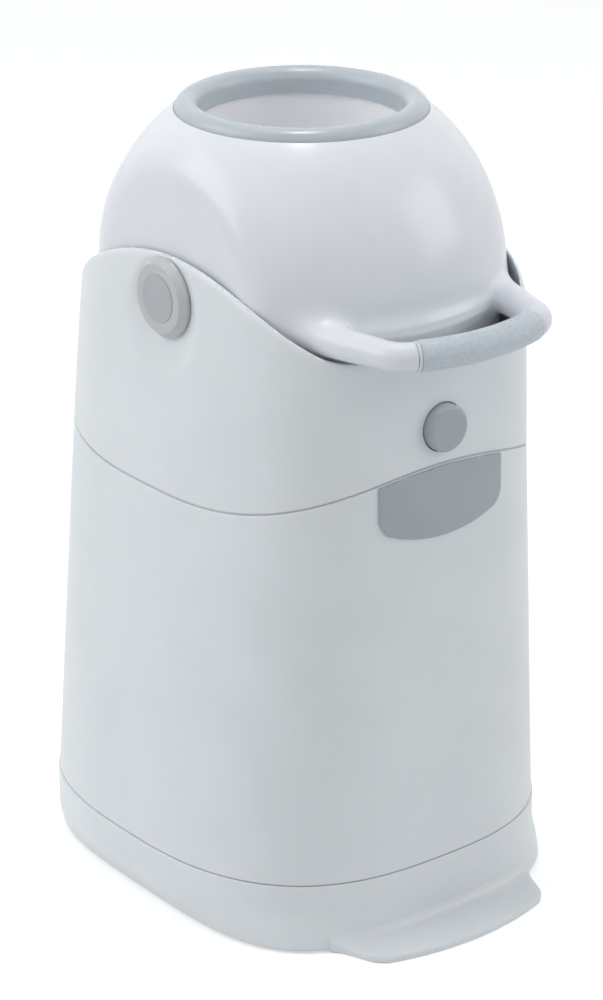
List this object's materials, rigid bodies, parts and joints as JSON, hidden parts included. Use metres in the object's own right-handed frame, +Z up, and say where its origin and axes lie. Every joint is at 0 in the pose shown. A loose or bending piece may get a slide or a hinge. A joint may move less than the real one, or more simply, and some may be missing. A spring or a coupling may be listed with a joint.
{
  "type": "nappy bin",
  "caption": "Free-standing nappy bin: a hinged head carries a drum that turns over by a front handle and drops a nappy past a sliding piston into the tub.",
  "frame": {"origin": "middle of the bounding box at floor level, under the pads", "axes": "+Z up, -Y to the front (handle, button and toe plate), X along the drum axis"},
  "size_m": [0.326, 0.4066, 0.5999],
  "materials": {
    "white_pp": "fine satin moulded",
    "white_gloss": "glossy moulded",
    "grey_pp": "satin moulded",
    "grey_ring": "satin moulded",
    "inner_pp": "satin moulded",
    "grip_tpe": "fine grained soft grip",
    "seal_rubber": "matt",
    "pad_rubber": "matt",
    "acetal": "smooth turned",
    "steel": "zinc plated",
    "ballast_iron": "painted",
    "disc_grey": "fine matt"
  },
  "bodies": {
    "tub": {"tub_shell": "white_pp", "base_pan": "white_pp", "seam_collar": "inner_pp", "toe_plate": "white_pp", "pad_front_left": "pad_rubber", "pad_front_right": "pad_rubber", "pad_rear_left": "pad_rubber", "pad_rear_right": "pad_rubber", "latch_panel": "grey_pp", "latch_keeper": "grey_pp", "rim_ledge": "inner_pp", "tub_hinge_left": "inner_pp", "tub_hinge_right": "inner_pp", "hinge_pin": "steel", "pin_cap_left": "inner_pp", "pin_cap_right": "inner_pp"},
    "bag_ring": {"bag_ring": "grey_pp", "bag_tab_left": "grey_pp", "bag_tab_right": "grey_pp"},
    "head": {"head_shell": "white_pp", "head_deck": "inner_pp", "head_hinge": "inner_pp", "bushing_left": "acetal", "bushing_right": "acetal", "button_guide": "inner_pp", "button_spring": "steel", "latch_bracket_left": "inner_pp", "latch_bracket_right": "inner_pp", "latch_pin": "steel"},
    "latch": {"latch_lever": "grey_pp"},
    "button": {"button_cap": "grey_pp", "button_stem": "grey_pp"},
    "drum": {"drum_upper": "white_gloss", "drum_lower": "white_gloss", "chamber_tube": "inner_pp", "ring_top": "grey_ring", "ring_bottom": "grey_ring", "handle_bail": "white_gloss", "handle_grip": "grip_tpe", "grip_ring_left": "white_gloss", "grip_ring_right": "white_gloss", "axle_left": "acetal", "axle_right": "acetal", "hub_cap_left": "grey_pp", "hub_cap_right": "grey_pp", "hub_disc_left": "disc_grey", "hub_disc_right": "disc_grey"},
    "piston": {"piston_body": "inner_pp", "piston_cap_top": "inner_pp", "piston_cap_bottom": "inner_pp", "piston_seal_top": "seal_rubber", "piston_seal_bottom": "seal_rubber", "ballast": "ballast_iron"}
  },
  "joints": [
    {"name": "head_hinge", "type": "hinge", "parent": "tub", "child": "head", "pos_m": [0, 0.19584, 0.362], "axis": [-1, 0, 0], "range_deg": [0, 85]},
    {"name": "drum_spin", "type": "hinge", "parent": "head", "child": "drum", "pos_m": [0, 0.01336, 0.473], "axis": [-1, 0, 0], "range_deg": [0, 180]},
    {"name": "piston_slide", "type": "slide", "parent": "drum", "child": "piston", "axis": [0, 0, 1], "range_m": [0, 0.10942]},
    {"name": "button_push", "type": "slide", "parent": "head", "child": "button", "axis": [0, 1, 0], "range_m": [0, 0.004], "stiffness_N_per_m": 300, "springref_m": -0.002, "deforming": ["button_spring"]},
    {"name": "latch_turn", "type": "hinge", "parent": "head", "child": "latch", "pos_m": [0, -0.1346, 0.411], "axis": [1, 0, 0], "range_deg": [0, 14]},
    {"name": "bag_ring_lift", "type": "slide", "parent": "tub", "child": "bag_ring", "axis": [0, 0, 1], "range_m": [0, 0.009]}
  ],
  "couplings": [
    {"joint": "latch_turn", "follows": "button_push", "rad_per_m": 58.824}
  ]
}
